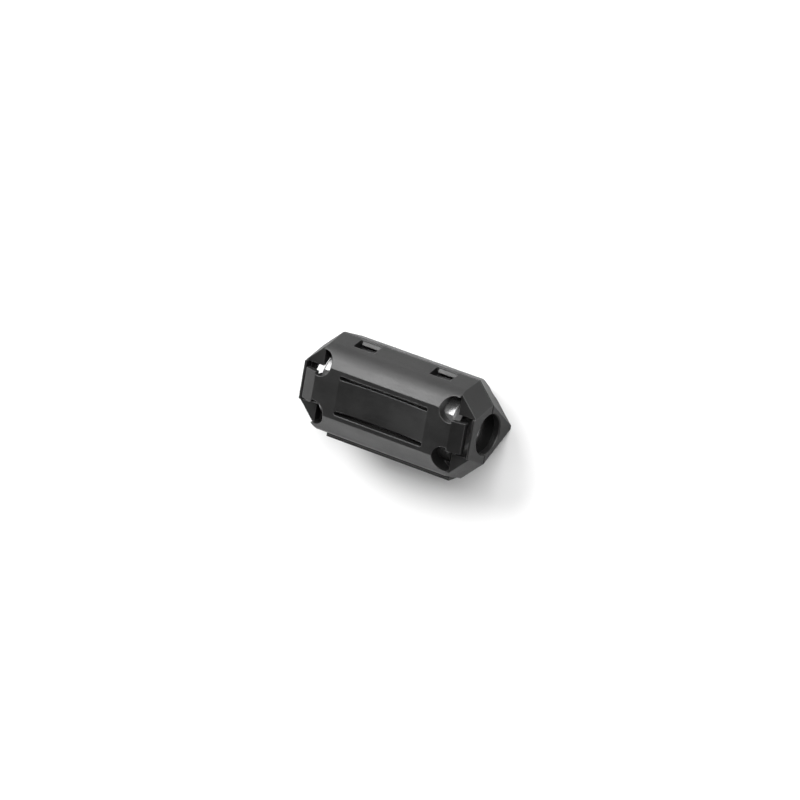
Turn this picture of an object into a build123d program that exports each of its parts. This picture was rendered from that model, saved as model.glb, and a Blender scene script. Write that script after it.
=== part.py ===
from build123d import *

import os

# A clip-on ferrite bead: a moulded case in two halves that shuts round a cable.
# X runs along the bore, +Y points to the latches, -Y to the film hinge, and +Z out of the upper flat.
# The origin is the middle of the bore, and the case is split at Z = 0.

# Case, outer form
case_length = 25.0
half_height = 5.15
flat_half_width = 3.1
knee_z = 3.96
upper_knee_y = 5.1
lower_knee_y = 5.3
knee_radius = 3.5
seam_y = 6.3
hinge_knee_y = 5.5
hinge_knee_radius = 2.0
seam_gap = 0.22

# Bevels of the four upright corners. Each leaves end_half_width of the end at the split, and leans in
# from there: it is the plane x + y + lean * |z| = bevel_reach
end_half_width = 3.85
upper_bevel_lean = 0.36
lower_bevel_lean = 0.7

# Ferrite core, a round bar with a flat along each half
core_length = 19.4
core_radius = 4.6
core_flat_cut = 0.6
core_edge = 0.25
bore_radius = 2.5
bore_edge = 0.35
core_gap = 0.04
core_clearance = 0.1

# End walls, and the chambers between them and the core
end_wall = 0.9
end_lip = 0.28
end_lip_z = 3.91
upper_chamber_radius = 4.0
lower_chamber_radius = 3.3
cable_clearance = 0.1
cable_hole_edge = 0.15

# Sprung tongue at each end of the upper flat, which folds down towards the end wall
fold_setback = 2.52
tongue_half_width = 1.95
tongue_run = 1.7
tongue_drop = 0.55
tongue_thickness = 0.75
tongue_slot = 0.55
step_z = 3.58
tongue_room_z = 2.68

# Round core-release holes through the corners of each flat, set back from the core's ends
upper_hole_radius = 1.58
upper_hole_setback = 0.1
upper_hole_y = 3.15
lower_hole_radius = 1.3
lower_hole_setback = 1.15
lower_hole_y = 2.9
hole_floor_z = 2.3

# Sprung panel in the middle of each flat, between two slots
panel_half_length = 6.49
panel_dip = 0.45
slot_width = 0.52
slot_y = 2.27
slot_overcut = 0.7

# Snap latches: a hook of the lower half stands in a window of the upper half
latch_x = 5.6
window_width = 3.1
window_near_z = 0.34
window_far_z = 2.15
hook_inner_y = 5.15
hook_thickness = 0.5
hook_tip_y = 6.1
hook_root_z = -1.2
hook_side_gap = 0.35
latch_clearance = 0.06
barb_flat = 0.08
barb_rise = 0.22
hook_back_drop = 0.9

# Film hinge, and the land on each half that it lies on, flush with the case at the split
hinge_half_length = 9.05
hinge_half_width = 1.6
hinge_film = 0.25
hinge_land_y = 6.5

# Worked out from the sizes above
half_length = case_length / 2
bevel_reach = half_length + end_half_width
wall_inner_x = half_length - end_wall
fold_x = half_length - fold_setback
core_end_x = core_length / 2
core_half_height = core_radius - core_flat_cut
cavity_end_x = core_end_x + core_clearance
cavity_radius = core_radius + core_clearance
cable_hole_radius = bore_radius + cable_clearance
slot_edge_y = tongue_half_width + tongue_slot
slot_floor_z = core_half_height - slot_overcut
bar_inner_y = hook_inner_y + hook_thickness + latch_clearance
barb_z = window_near_z + latch_clearance
film_y = hinge_land_y + hinge_film
far = 40.0


def block(x0, x1, y0, y1, z0, z1):
    """A box between two corners."""
    return Pos((x0 + x1) / 2, (y0 + y1) / 2, (z0 + z1) / 2) * Box(x1 - x0, y1 - y0, z1 - z0)


def both_ways(shape, plane):
    """A shape with its mirror image."""
    return shape + mirror(shape, about=plane)


def four_corners(shape):
    """A shape at one corner of the flat, repeated at all four."""
    return both_ways(both_ways(shape, Plane.XZ), Plane.YZ)


def hinge_land():
    """The raised strip that the hinge's film lies on."""
    return block(-hinge_half_length, hinge_half_length, -hinge_land_y, -hinge_knee_y, 0, hinge_half_width)


def outer_form(knee_y, bevel_lean):
    """A half's outer form: two facets each side of the flat, the hinge's land, and bevelled corners."""
    outline = Polyline(
        (-hinge_land_y, 0),
        (-hinge_knee_y, knee_z),
        (-flat_half_width, half_height),
        (flat_half_width, half_height),
        (knee_y, knee_z),
        (seam_y, 0),
        close=True,
    )
    section = make_face(outline)
    for y, radius in ((-hinge_knee_y, hinge_knee_radius), (knee_y, knee_radius)):
        knee = section.vertices().sort_by_distance((y, knee_z, 0))[0]
        section = fillet(knee, radius)
    form = extrude(Plane.YZ * section, half_length, both=True) + hinge_land()
    bevel_plane = Plane(origin=(bevel_reach, 0, 0), z_dir=(1, 1, bevel_lean))
    return form - four_corners(extrude(bevel_plane * Rectangle(far, far), far / 2))


def core_space():
    """The room for the half core, closed by the upper flat, which the core's own flat bears on."""
    cylinder = Rot(0, 90, 0) * Cylinder(cavity_radius, 2 * cavity_end_x)
    return cylinder & block(-far, far, -far, far, -far, core_half_height)


def end_spaces(chamber_radius):
    """The chambers between the core and the end walls, and the cable's holes in those walls."""
    depth = wall_inner_x - cavity_end_x
    chamber = Pos(wall_inner_x - depth / 2, 0, 0) * Rot(0, 90, 0) * Cylinder(chamber_radius, depth)
    holes = Rot(0, 90, 0) * Cylinder(cable_hole_radius, case_length)
    mouth = Pos(half_length - cable_hole_edge / 2, 0, 0) * Rot(0, 90, 0) * Cone(
        cable_hole_radius, cable_hole_radius + cable_hole_edge, cable_hole_edge
    )
    return both_ways(chamber + mouth, Plane.YZ) + holes


def corner_holes(setback, y, radius):
    """Four round holes through the flat onto the core's ends, cut off at the ledges past fold_x."""
    x = core_end_x - setback
    depth = far - hole_floor_z
    hole = Pos(x, y, hole_floor_z + depth / 2) * Cylinder(radius, depth)
    return four_corners(hole & block(0, fold_x, 0, far, 0, far))


def panel_cuts():
    """The two slots beside the sprung panel, and the shallow bow of the panel itself."""
    slot = SlotOverall(2 * panel_half_length, slot_width)
    slots = both_ways(extrude(Pos(0, slot_y, slot_floor_z) * slot, far), Plane.XZ)
    bow = ThreePointArc(
        (-panel_half_length, half_height),
        (0, half_height - panel_dip),
        (panel_half_length, half_height),
    )
    chord = Line(bow @ 1, bow @ 0)
    dish = extrude(Plane.XZ * make_face([bow, chord]), slot_y, both=True)
    return slots + dish


def tongue_spaces():
    """The ledges beside the tongues, and the room round each tongue up to the lip of the end wall."""
    ledge = block(fold_x, far, slot_edge_y, far, step_z, far)
    lip = block(fold_x, far, -slot_edge_y, slot_edge_y, end_lip_z, far)
    room = block(fold_x, half_length - end_lip, -slot_edge_y, slot_edge_y, tongue_room_z, far)
    return both_ways(both_ways(ledge, Plane.XZ) + lip + room, Plane.YZ)


def tongues():
    """The upper flat's two end tongues, each folded down at fold_x."""
    side = Polyline(
        (fold_x, half_height),
        (fold_x + tongue_run, half_height - tongue_drop),
        (fold_x + tongue_run, half_height - tongue_drop - tongue_thickness),
        (fold_x, half_height - tongue_thickness),
        close=True,
    )
    tongue = extrude(Plane.XZ * make_face(side), tongue_half_width, both=True)
    return both_ways(tongue, Plane.YZ)


def hollow_half(knee_y, bevel_lean, chamber_radius):
    """What the two halves share, drawn as the upper one: the hollow form with its sprung panel."""
    shell = outer_form(knee_y, bevel_lean)
    shell -= core_space()
    shell -= end_spaces(chamber_radius)
    shell -= panel_cuts()
    return shell - block(-far, far, -far, far, -far, seam_gap / 2)


def latch_pocket(x, z0, z1):
    """The room inside the wall for one hook's arm."""
    half_width = window_width / 2
    return block(x - half_width, x + half_width, hook_inner_y - latch_clearance, bar_inner_y, z0, z1)


def latch_window(x):
    """The opening in the upper half's side that one hook's barb stands in, below a thin bar."""
    half_width = window_width / 2
    return block(x - half_width, x + half_width, cavity_radius, far, window_near_z, window_far_z)


def latch_hook(x):
    """A hook: an arm from the lower half's wall with a barb that catches on the window's bar."""
    arm_outer_y = hook_inner_y + hook_thickness
    tip_z = barb_z + barb_flat + barb_rise
    profile = Polyline(
        (hook_inner_y, hook_root_z),
        (arm_outer_y, hook_root_z),
        (arm_outer_y, barb_z),
        (hook_tip_y, barb_z),
        (hook_tip_y, barb_z + barb_flat),
        (arm_outer_y, tip_z),
        (hook_inner_y, tip_z - hook_back_drop),
        close=True,
    )
    left = x - window_width / 2 + hook_side_gap
    right = x + window_width / 2 - latch_clearance
    hook = extrude(Plane.YZ * make_face(profile), (right - left) / 2, both=True)
    return Pos((left + right) / 2, 0, 0) * hook


def upper_shell():
    """The half with the two latch windows and the two end tongues."""
    shell = hollow_half(upper_knee_y, upper_bevel_lean, upper_chamber_radius)
    shell -= tongue_spaces()
    shell -= corner_holes(upper_hole_setback, upper_hole_y, upper_hole_radius)
    shell += tongues()
    for x in (-latch_x, latch_x):
        shell -= latch_pocket(x, 0, window_far_z)
        shell -= latch_window(x)
    return shell


def lower_shell():
    """The half that carries the hooks. Its bevels lean in too far for tongues, so its flat ends plainly."""
    shell = hollow_half(lower_knee_y, lower_bevel_lean, lower_chamber_radius)
    shell -= corner_holes(lower_hole_setback, lower_hole_y, lower_hole_radius)
    shell = mirror(shell, about=Plane.XY)
    for x in (-latch_x, latch_x):
        shell -= latch_pocket(x, hook_root_z, 0)
    return shell


def half_core():
    """Half of the ferrite, above the split, with its flat on top."""
    core = Rot(0, 90, 0) * Cylinder(core_radius, core_length)
    core = chamfer(core.edges().filter_by(GeomType.CIRCLE), core_edge)
    core -= Rot(0, 90, 0) * Cylinder(bore_radius, core_length)
    mouth = Pos(core_end_x - bore_edge / 2, 0, 0) * Rot(0, 90, 0) * Cone(
        bore_radius, bore_radius + bore_edge, bore_edge
    )
    core -= both_ways(mouth, Plane.YZ)
    return core & block(-far, far, -far, far, core_gap / 2, core_half_height)


def living_hinge():
    """The film that joins the two halves, lying over both lands with the case shut."""
    return block(
        -hinge_half_length, hinge_half_length, -film_y, -hinge_land_y, -hinge_half_width, hinge_half_width
    )


pieces = {
    "upper_shell": upper_shell(),
    "lower_shell": lower_shell(),
    "upper_core": half_core(),
    "lower_core": mirror(half_core(), about=Plane.XY),
    "latch_hook_left": latch_hook(-latch_x),
    "latch_hook_right": latch_hook(latch_x),
    "living_hinge": living_hinge(),
}

os.makedirs("parts", exist_ok=True)
for name, piece in pieces.items():
    piece.label = name
    export_step(piece, os.path.join("parts", name + ".step"))
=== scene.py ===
"""The clip-on ferrite bead's looks: satin black plastic, ferrite, a finely cut hinge film, a pale studio."""

import math

import bmesh
import bpy
from mathutils import Matrix, Vector


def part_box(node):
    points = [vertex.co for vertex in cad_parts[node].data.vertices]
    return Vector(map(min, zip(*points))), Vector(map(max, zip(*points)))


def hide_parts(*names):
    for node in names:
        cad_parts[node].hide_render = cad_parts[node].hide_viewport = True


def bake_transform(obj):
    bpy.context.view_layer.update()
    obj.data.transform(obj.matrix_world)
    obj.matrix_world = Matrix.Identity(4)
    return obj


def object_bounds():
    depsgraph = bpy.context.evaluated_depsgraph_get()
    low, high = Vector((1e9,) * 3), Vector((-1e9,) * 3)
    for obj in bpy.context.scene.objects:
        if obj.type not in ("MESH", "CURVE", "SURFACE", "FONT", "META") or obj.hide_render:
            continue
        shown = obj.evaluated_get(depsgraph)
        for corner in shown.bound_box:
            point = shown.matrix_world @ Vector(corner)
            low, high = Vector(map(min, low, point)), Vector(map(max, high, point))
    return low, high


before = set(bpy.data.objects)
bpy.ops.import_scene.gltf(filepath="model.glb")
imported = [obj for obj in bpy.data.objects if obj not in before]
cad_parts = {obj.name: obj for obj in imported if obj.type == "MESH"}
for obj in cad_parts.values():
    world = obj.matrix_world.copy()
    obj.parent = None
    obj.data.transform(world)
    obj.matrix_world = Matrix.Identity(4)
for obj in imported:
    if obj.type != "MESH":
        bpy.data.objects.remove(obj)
cad_low, cad_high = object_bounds()

MM = 0.001

# Ranges of the noise textures, whose values keep near the middle of 0 to 1
NOISE_LOW = 0.3
NOISE_HIGH = 0.7


# ---------------------------------------------------------------- node helpers


def new_material(name):
    """An empty node material with its output node."""
    material = bpy.data.materials.new(name)
    material.use_nodes = True
    tree = material.node_tree
    tree.nodes.clear()
    return material, tree, tree.nodes.new("ShaderNodeOutputMaterial")


def put(tree, kind, settings=(), **inputs):
    """A node of that kind, with attributes from settings and input values from the keywords."""
    node = tree.nodes.new(kind)
    for key, value in dict(settings).items():
        setattr(node, key, value)
    for key, value in inputs.items():
        socket = node.inputs[key.replace("_", " ")]
        if isinstance(value, bpy.types.NodeSocket):
            tree.links.new(value, socket)
        else:
            socket.default_value = value
    return node


def noise(tree, place, scale, detail=3.0, rough=0.5):
    """Smooth random blotches, scale of them to the metre."""
    node = put(tree, "ShaderNodeTexNoise", Vector=place, Scale=scale, Detail=detail, Roughness=rough)
    return node.outputs["Fac"]


def remap(tree, value, low, high, to_low, to_high):
    """value, taken from low..high to to_low..to_high, with nothing outside."""
    node = put(tree, "ShaderNodeMapRange")
    tree.links.new(value, node.inputs["Value"])
    for key, number in (("From Min", low), ("From Max", high), ("To Min", to_low), ("To Max", to_high)):
        node.inputs[key].default_value = number
    return node.outputs["Result"]


def spread(tree, value, to_low, to_high):
    """A noise's own range, stretched over to_low..to_high."""
    return remap(tree, value, NOISE_LOW, NOISE_HIGH, to_low, to_high)


def maths(tree, operation, a, b=0.0):
    """a and b, each a socket or a number, put together."""
    node = put(tree, "ShaderNodeMath", {"operation": operation})
    for socket, value in zip(node.inputs, (a, b)):
        if isinstance(value, bpy.types.NodeSocket):
            tree.links.new(value, socket)
        else:
            socket.default_value = value
    return node.outputs["Value"]


def mix_colours(tree, factor, first, second):
    """first where factor is 0 and second where it is 1."""
    node = put(tree, "ShaderNodeMix", {"data_type": "RGBA"})
    tree.links.new(factor, node.inputs["Factor"])
    for key, value in (("A", first), ("B", second)):
        socket = next(s for s in node.inputs if s.name == key and s.type == "RGBA")
        if isinstance(value, bpy.types.NodeSocket):
            tree.links.new(value, socket)
        else:
            socket.default_value = value
    return next(s for s in node.outputs if s.type == "RGBA")


def grey(value, warmth=0.0):
    """A near-neutral linear colour."""
    return (value * (1 + warmth), value, value * (1 - warmth), 1.0)


def edge_mask(tree, radius):
    """A mask, 1 along the outer and inner edges and 0 on open faces, and the normal rounded there."""
    rounded = put(tree, "ShaderNodeBevel", {"samples": 6}, Radius=radius).outputs["Normal"]
    plain = put(tree, "ShaderNodeNewGeometry").outputs["Normal"]
    dot = put(tree, "ShaderNodeVectorMath", {"operation": "DOT_PRODUCT"})
    tree.links.new(rounded, dot.inputs[0])
    tree.links.new(plain, dot.inputs[1])
    flat, turned = 0.999, 0.93
    return remap(tree, dot.outputs["Value"], flat, turned, 0.0, 1.0), rounded


# ---------------------------------------------------------------- materials


def case_plastic():
    """Black nylon from a finely sparked mould: satin, paler along its edges (partly rubbed wear, partly a
    painted highlight), with a few specks of dust.
    """
    material, tree, output = new_material("case_plastic")
    place = put(tree, "ShaderNodeTexCoord").outputs["Object"]
    edges, rounded = edge_mask(tree, 0.16 * MM)

    # Blotches a few millimetres across, the mould's grain, and flow lines along the case
    broad = noise(tree, place, 260.0, 3.0)
    fine = noise(tree, place, 5200.0, 2.0)
    flow = put(tree, "ShaderNodeMapping", Vector=place, Scale=(120.0, 700.0, 700.0)).outputs["Vector"]
    streaks = noise(tree, flow, 1.0, 4.0, 0.6)

    # Near black, and paler along the outer and inner edges: partly rubbed wear, partly a painted highlight
    # on the rounded edges
    body = mix_colours(tree, remap(tree, broad, 0.35, 0.65, 0.0, 1.0), grey(0.006), grey(0.009, 0.01))
    body = mix_colours(tree, maths(tree, "MULTIPLY", edges, 0.5), body, grey(0.07))

    # A few pale specks of dust
    cells = put(tree, "ShaderNodeTexVoronoi", Vector=place, Scale=900.0, Randomness=1.0)
    speck = remap(tree, cells.outputs["Distance"], 0.05, 0.03, 0.0, 1.0)
    rare = maths(tree, "GREATER_THAN", noise(tree, place, 420.0, 1.0), 0.62)
    dust = maths(tree, "MULTIPLY", maths(tree, "MULTIPLY", speck, rare), 0.35)
    body = mix_colours(tree, dust, body, grey(0.3))

    rough = spread(tree, fine, 0.38, 0.46)
    rough = maths(tree, "ADD", rough, spread(tree, broad, -0.03, 0.03))
    rough = maths(tree, "ADD", rough, spread(tree, streaks, -0.03, 0.03))
    rough = maths(tree, "SUBTRACT", rough, maths(tree, "MULTIPLY", edges, 0.06))

    grain = put(tree, "ShaderNodeBump", Strength=0.35, Distance=0.016 * MM, Height=fine, Normal=rounded)
    waves = put(tree, "ShaderNodeBump", Strength=0.25, Distance=0.06 * MM, Height=broad)
    tree.links.new(grain.outputs["Normal"], waves.inputs["Normal"])

    shader = put(tree, "ShaderNodeBsdfPrincipled", Base_Color=body, Roughness=rough, IOR=1.5)
    tree.links.new(waves.outputs["Normal"], shader.inputs["Normal"])
    tree.links.new(shader.outputs["BSDF"], output.inputs["Surface"])
    return material


def ferrite():
    """Sintered ferrite: dark grey and faintly granular, shiny as fired, with matt ground split faces."""
    material, tree, output = new_material("ferrite")
    place = put(tree, "ShaderNodeTexCoord").outputs["Object"]
    edges, rounded = edge_mask(tree, 0.1 * MM)
    grains = noise(tree, place, 7000.0, 2.0)
    clouds = noise(tree, place, 500.0, 3.0)

    body = mix_colours(tree, spread(tree, clouds, 0.0, 1.0), grey(0.045), grey(0.065))
    body = mix_colours(tree, maths(tree, "MULTIPLY", edges, 0.4), body, grey(0.12))
    rough = spread(tree, grains, 0.26, 0.38)
    rough = maths(tree, "ADD", rough, spread(tree, clouds, -0.03, 0.03))

    # The ground faces are the ones next to the split, which is at Z = 0
    from_split = maths(tree, "ABSOLUTE", put(tree, "ShaderNodeSeparateXYZ", Vector=place).outputs["Z"])
    ground = maths(tree, "LESS_THAN", from_split, 0.1 * MM)
    rough = maths(tree, "ADD", rough, maths(tree, "MULTIPLY", ground, 0.2))
    index = remap(tree, ground, 0.0, 1.0, 2.4, 1.85)
    bump = put(tree, "ShaderNodeBump", Strength=0.2, Distance=0.008 * MM, Height=grains, Normal=rounded)

    shader = put(tree, "ShaderNodeBsdfPrincipled", Base_Color=body, Roughness=rough, IOR=index)
    tree.links.new(bump.outputs["Normal"], shader.inputs["Normal"])
    tree.links.new(shader.outputs["BSDF"], output.inputs["Surface"])
    return material


def paper_white():
    """The floor: matt, and whiter to the camera, so that only the near shadow shows on it."""
    material, tree, output = new_material("floor_white")
    path = put(tree, "ShaderNodeLightPath")
    white = mix_colours(tree, path.outputs["Is Camera Ray"], grey(0.6), grey(0.85))
    matt = put(tree, "ShaderNodeBsdfDiffuse", Color=white)
    tree.links.new(matt.outputs["BSDF"], output.inputs["Surface"])
    return material


# ---------------------------------------------------------------- pieces


def groove(share):
    """Depth of the groove along the film's middle third, at a share of the film's width."""
    reach = min(abs(share - 0.5) * 6, 1)
    return 0.03 * MM * (math.cos(math.pi * reach) + 1)


def film_mesh(low, high):
    """The film between two corners, cut finely across, with its ends closed."""
    across = 32
    along = 24
    mesh = bpy.data.meshes.new("hinge_film")
    film = bmesh.new()
    rings = []
    for i in range(along + 1):
        x = low.x + (high.x - low.x) * i / along
        outer, inner = [], []
        for k in range(across + 1):
            share = k / across
            z = low.z + (high.z - low.z) * share
            outer.append(film.verts.new((x, low.y + groove(share) / 2, z)))
            inner.append(film.verts.new((x, high.y - groove(share), z)))
        rings.append(outer + inner[::-1])
    count = len(rings[0])
    for a, b in zip(rings, rings[1:]):
        for k in range(count):
            film.faces.new((a[k], a[(k + 1) % count], b[(k + 1) % count], b[k]))
    for ring, flip in ((rings[0], True), (rings[-1], False)):
        for k in range(across):
            face = (ring[k], ring[k + 1], ring[count - 2 - k], ring[count - 1 - k])
            film.faces.new(face[::-1] if flip else face)
    bmesh.ops.recalc_face_normals(film, faces=film.faces)
    film.to_mesh(mesh)
    film.free()
    return mesh


def film_hinge(material):
    """The film in the CAD film's own box, across the split from one half to the other, in place of the
    hidden CAD film.
    """
    low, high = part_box("living_hinge")
    piece = bpy.data.objects.new("hinge_film", film_mesh(low, high))
    bpy.context.scene.collection.objects.link(piece)
    piece.data.materials.append(material)
    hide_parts("living_hinge")
    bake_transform(piece)


def finish_nodes(case, core):
    """The half cores are ferrite, and every other CAD node is the case's plastic."""
    for name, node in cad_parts.items():
        node.data.materials.clear()
        node.data.materials.append(core if name.endswith("_core") else case)


# ---------------------------------------------------------------- stage


TOWARDS = Vector((0.4801, 0.3026, 0.8234)).normalized()
UP = Vector((-0.2990, 0.9389, -0.1707)).normalized()
RIGHT = UP.cross(TOWARDS).normalized()


def camera():
    """The photograph's view: from the latches' side and the right end, looking down on the flat."""
    distance = 0.86
    aim = RIGHT * (-0.40 * MM) + UP * (0.50 * MM)
    lens = bpy.data.cameras.new("camera")
    lens.sensor_width = 36.0
    lens.lens = 317.0
    lens.clip_start = 0.01
    eye = bpy.data.objects.new("camera", lens)
    turn = Matrix((RIGHT, TOWARDS.cross(RIGHT), TOWARDS)).transposed()
    eye.matrix_world = Matrix.Translation(aim + TOWARDS * distance) @ turn.to_4x4()
    bpy.context.scene.collection.objects.link(eye)
    bpy.context.scene.camera = eye


def floor(material):
    """A plain floor that the object lies on."""
    half = 3.0
    mesh = bpy.data.meshes.new("floor")
    corners = [(-half, -half, 0), (half, -half, 0), (half, half, 0), (-half, half, 0)]
    mesh.from_pydata(corners, [], [(0, 1, 2, 3)])
    plane = bpy.data.objects.new("floor", mesh)
    plane.location.z = cad_low[2]
    plane.data.materials.append(material)
    bpy.context.scene.collection.objects.link(plane)


def softbox(name, direction, width, height, radiance):
    """A rectangular light that faces the object from that direction."""
    distance = 0.75
    lamp = bpy.data.lights.new(name, "AREA")
    lamp.shape = "RECTANGLE"
    lamp.size = width
    lamp.size_y = height
    lamp.energy = radiance * math.pi * width * height
    holder = bpy.data.objects.new(name, lamp)
    towards = Vector(direction).normalized()
    holder.location = towards * distance
    holder.rotation_euler = towards.to_track_quat("Z", "Y").to_euler()
    bpy.context.scene.collection.objects.link(holder)


def surroundings():
    """A room that is white behind and to the left, and dim in front and overhead."""
    world = bpy.data.worlds.new("room")
    bpy.context.scene.world = world
    world.use_nodes = True
    tree = world.node_tree
    tree.nodes.clear()
    output = tree.nodes.new("ShaderNodeOutputWorld")
    direction = put(tree, "ShaderNodeTexCoord").outputs["Generated"]
    part = put(tree, "ShaderNodeSeparateXYZ", Vector=direction).outputs
    level = remap(tree, part["Z"], 0.15, 0.75, 1.1, 0.08)
    to_left = maths(tree, "MULTIPLY", part["X"], -0.8)
    to_back = maths(tree, "MULTIPLY", part["Y"], 0.6)
    share = remap(tree, maths(tree, "ADD", to_left, to_back), -0.2, 0.4, 0.2, 1.0)
    level = maths(tree, "MULTIPLY", level, share)
    glow = put(tree, "ShaderNodeBackground", Strength=level)
    path = put(tree, "ShaderNodeLightPath")
    white = put(tree, "ShaderNodeBackground", Strength=1.0)
    for background in (glow, white):
        background.inputs["Color"].default_value = grey(1.0)
    choose = put(tree, "ShaderNodeMixShader", Fac=path.outputs["Is Camera Ray"])
    tree.links.new(glow.outputs["Background"], choose.inputs[1])
    tree.links.new(white.outputs["Background"], choose.inputs[2])
    tree.links.new(choose.outputs["Shader"], output.inputs["Surface"])


def main():
    case = case_plastic()
    finish_nodes(case, ferrite())
    film_hinge(case)
    floor(paper_white())
    softbox("key", (-0.48, 0.58, 0.70), 0.50, 0.36, 10.0)
    softbox("low_key", (-0.56, 0.78, 0.27), 0.50, 0.24, 3.2)
    softbox("overhead", (0.42, 0.60, 0.68), 0.80, 0.44, 6.5)
    softbox("hinge_side", (-0.48, -0.84, 0.24), 0.60, 0.24, 3.6)
    softbox("left_side", (-0.87, -0.30, 0.36), 0.30, 0.30, 1.8)
    surroundings()
    camera()
    bpy.context.scene.view_settings.view_transform = "Standard"


main()
